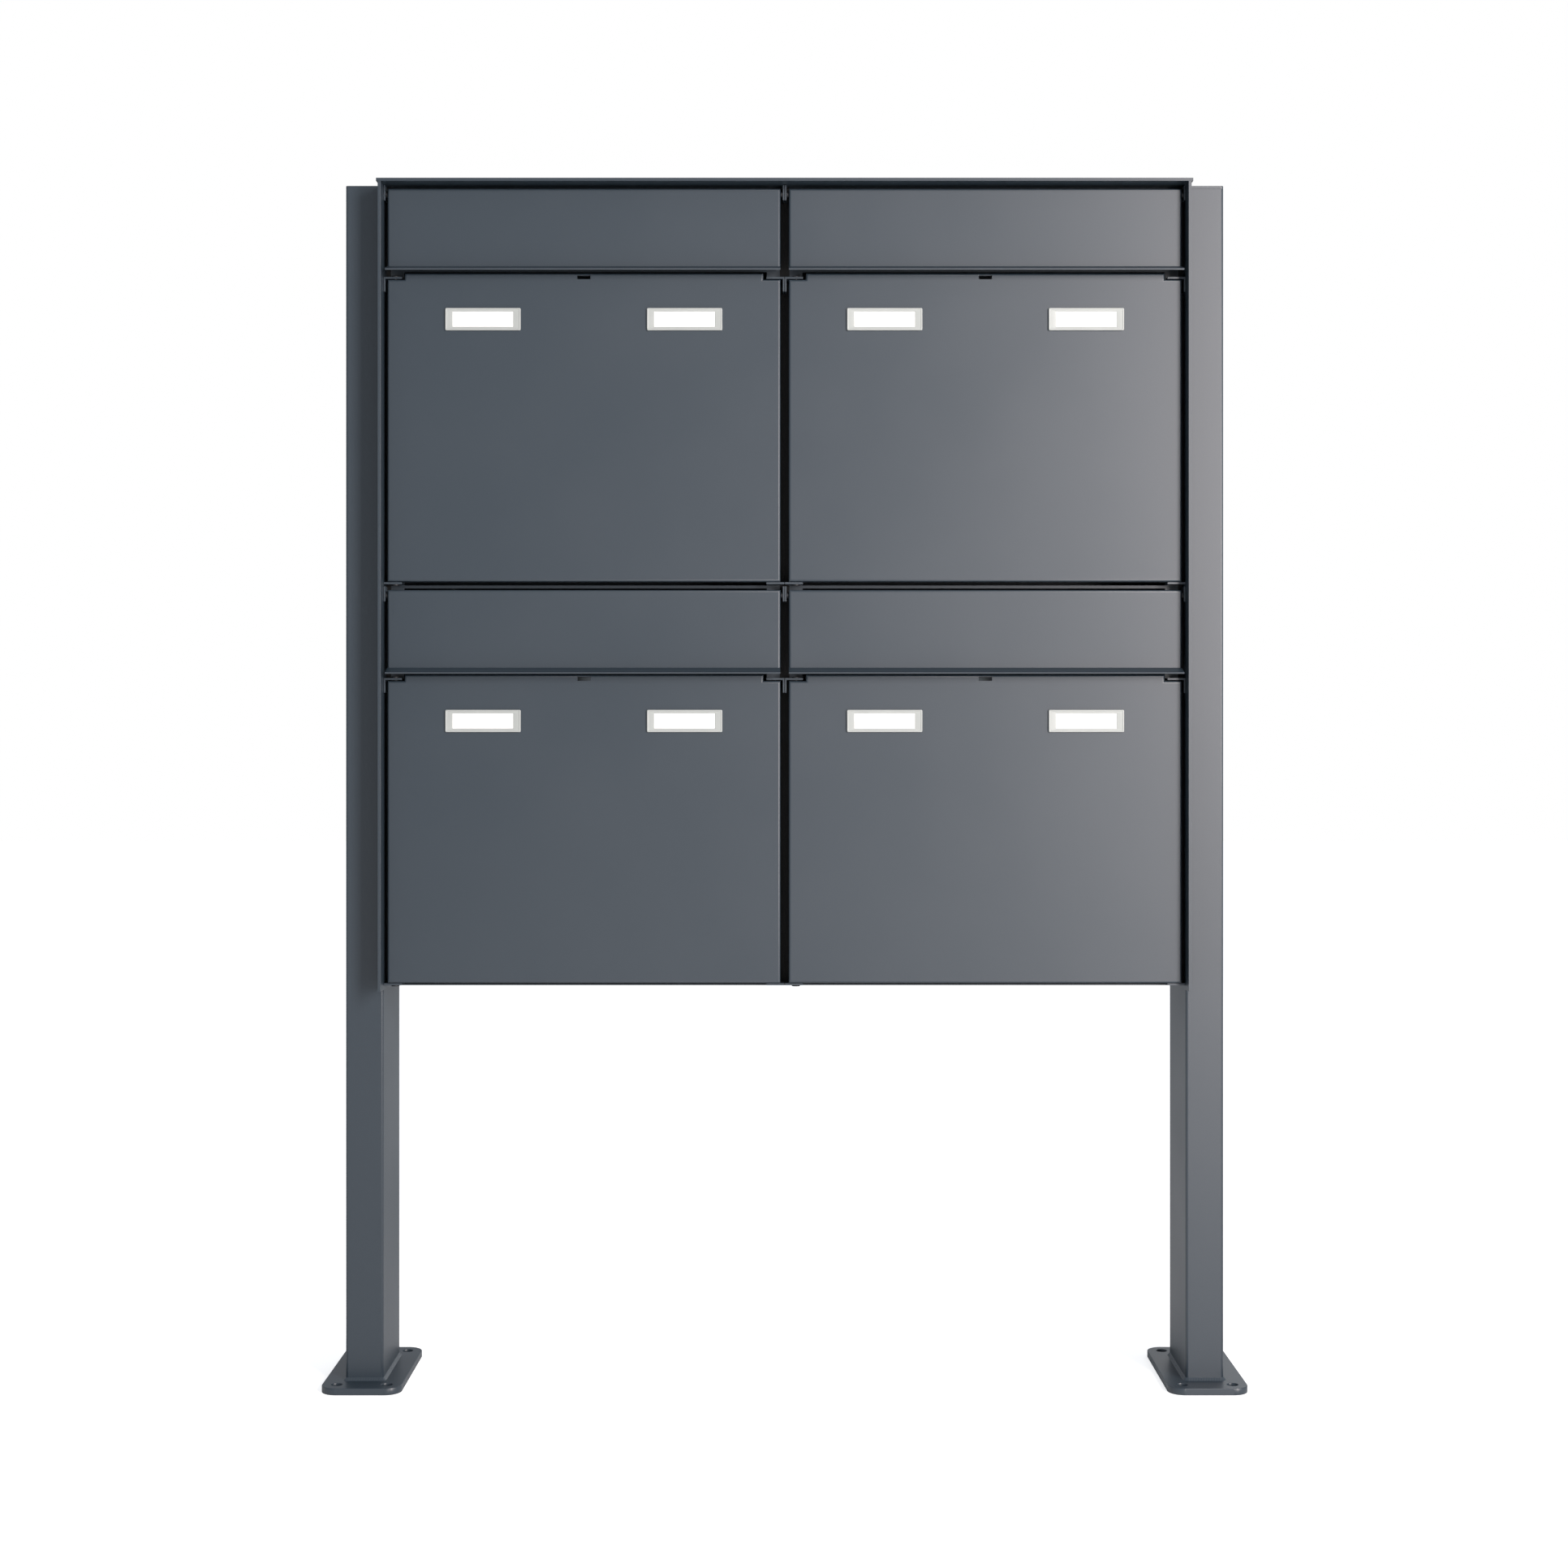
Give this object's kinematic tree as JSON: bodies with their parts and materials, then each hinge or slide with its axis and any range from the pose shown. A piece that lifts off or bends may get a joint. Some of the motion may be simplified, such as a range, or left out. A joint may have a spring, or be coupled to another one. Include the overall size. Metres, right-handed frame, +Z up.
{
  "type": "cluster mailbox unit",
  "caption": "Freestanding bank of letterboxes in a sheet metal case between two bolt-down posts; each box has a hinged mail flap, a lockable hinged door and blank name plates.",
  "frame": {"origin": "middle of the footprint, on the ground under the foot plates", "axes": "+X to the right seen from the front, the doors face -Y, +Z up"},
  "size_m": [0.924, 0.165, 1.207],
  "materials": {
    "powder_coat": "satin powder coat, anthracite grey",
    "zinc_steel": "bright zinc plate",
    "chrome_lock": "polished nickel",
    "holder_plastic": "moulded, semi-gloss",
    "card_paper": "matt white card",
    "black_rubber": "moulded matt"
  },
  "bodies": {
    "frame": {"roof_plate": "powder_coat", "side_panel_left": "powder_coat", "side_panel_right": "powder_coat", "post_left": "powder_coat", "post_right": "powder_coat", "post_cap_left": "powder_coat", "post_cap_right": "powder_coat", "foot_plate_left": "powder_coat", "foot_plate_right": "powder_coat", "panel_bolts": "zinc_steel", "rivet_nuts": "zinc_steel", "case_screws": "zinc_steel", "case_nuts": "zinc_steel", "roof_screws": "zinc_steel", "weld_beads": "powder_coat", "rubber_bumpers": "black_rubber", "body_shell_lower_left": "powder_coat", "front_frame_lower_left": "powder_coat", "lock_case_lower_left": "chrome_lock", "hinge_pins_lower_left": "zinc_steel", "body_shell_lower_right": "powder_coat", "front_frame_lower_right": "powder_coat", "lock_case_lower_right": "chrome_lock", "hinge_pins_lower_right": "zinc_steel", "body_shell_upper_left": "powder_coat", "front_frame_upper_left": "powder_coat", "lock_case_upper_left": "chrome_lock", "hinge_pins_upper_left": "zinc_steel", "body_shell_upper_right": "powder_coat", "front_frame_upper_right": "powder_coat", "lock_case_upper_right": "chrome_lock", "hinge_pins_upper_right": "zinc_steel"},
    "flap_lower_left": {"mail_flap_lower_left": "powder_coat"},
    "door_lower_left": {"door_lower_left": "powder_coat", "door_catch_lower_left": "zinc_steel", "name_holders_lower_left": "holder_plastic", "name_cards_lower_left": "card_paper"},
    "lock_lower_left": {"lock_plug_lower_left": "chrome_lock", "lock_cam_lower_left": "zinc_steel"},
    "flap_lower_right": {"mail_flap_lower_right": "powder_coat"},
    "door_lower_right": {"door_lower_right": "powder_coat", "door_catch_lower_right": "zinc_steel", "name_holders_lower_right": "holder_plastic", "name_cards_lower_right": "card_paper"},
    "lock_lower_right": {"lock_plug_lower_right": "chrome_lock", "lock_cam_lower_right": "zinc_steel"},
    "flap_upper_left": {"mail_flap_upper_left": "powder_coat"},
    "door_upper_left": {"door_upper_left": "powder_coat", "door_catch_upper_left": "zinc_steel", "name_holders_upper_left": "holder_plastic", "name_cards_upper_left": "card_paper"},
    "lock_upper_left": {"lock_plug_upper_left": "chrome_lock", "lock_cam_upper_left": "zinc_steel"},
    "flap_upper_right": {"mail_flap_upper_right": "powder_coat"},
    "door_upper_right": {"door_upper_right": "powder_coat", "door_catch_upper_right": "zinc_steel", "name_holders_upper_right": "holder_plastic", "name_cards_upper_right": "card_paper"},
    "lock_upper_right": {"lock_plug_upper_right": "chrome_lock", "lock_cam_upper_right": "zinc_steel"}
  },
  "joints": [
    {"name": "flap_hinge_lower_left", "type": "hinge", "parent": "frame", "child": "flap_lower_left", "pos_m": [-0.2, -0.0615, 0.7948], "axis": [-1, 0, 0], "range_deg": [0, 80]},
    {"name": "door_hinge_lower_left", "type": "hinge", "parent": "frame", "child": "door_lower_left", "pos_m": [-0.3888, -0.0605, 0.554], "axis": [0, 0, -1], "range_deg": [0, 95]},
    {"name": "lock_turn_lower_left", "type": "hinge", "parent": "frame", "child": "lock_lower_left", "pos_m": [-0.2, -0.0375, 0.735], "axis": [0, 1, 0], "range_deg": [0, 90]},
    {"name": "flap_hinge_lower_right", "type": "hinge", "parent": "frame", "child": "flap_lower_right", "pos_m": [0.2, -0.0615, 0.7948], "axis": [-1, 0, 0], "range_deg": [0, 80]},
    {"name": "door_hinge_lower_right", "type": "hinge", "parent": "frame", "child": "door_lower_right", "pos_m": [0.0112, -0.0605, 0.554], "axis": [0, 0, -1], "range_deg": [0, 95]},
    {"name": "lock_turn_lower_right", "type": "hinge", "parent": "frame", "child": "lock_lower_right", "pos_m": [0.2, -0.0375, 0.735], "axis": [0, 1, 0], "range_deg": [0, 90]},
    {"name": "flap_hinge_upper_left", "type": "hinge", "parent": "frame", "child": "flap_upper_left", "pos_m": [-0.2, -0.0615, 1.1948], "axis": [-1, 0, 0], "range_deg": [0, 80]},
    {"name": "door_hinge_upper_left", "type": "hinge", "parent": "frame", "child": "door_upper_left", "pos_m": [-0.3888, -0.0605, 0.954], "axis": [0, 0, -1], "range_deg": [0, 95]},
    {"name": "lock_turn_upper_left", "type": "hinge", "parent": "frame", "child": "lock_upper_left", "pos_m": [-0.2, -0.0375, 1.135], "axis": [0, 1, 0], "range_deg": [0, 90]},
    {"name": "flap_hinge_upper_right", "type": "hinge", "parent": "frame", "child": "flap_upper_right", "pos_m": [0.2, -0.0615, 1.1948], "axis": [-1, 0, 0], "range_deg": [0, 80]},
    {"name": "door_hinge_upper_right", "type": "hinge", "parent": "frame", "child": "door_upper_right", "pos_m": [0.0112, -0.0605, 0.954], "axis": [0, 0, -1], "range_deg": [0, 95]},
    {"name": "lock_turn_upper_right", "type": "hinge", "parent": "frame", "child": "lock_upper_right", "pos_m": [0.2, -0.0375, 1.135], "axis": [0, 1, 0], "range_deg": [0, 90]}
  ]
}
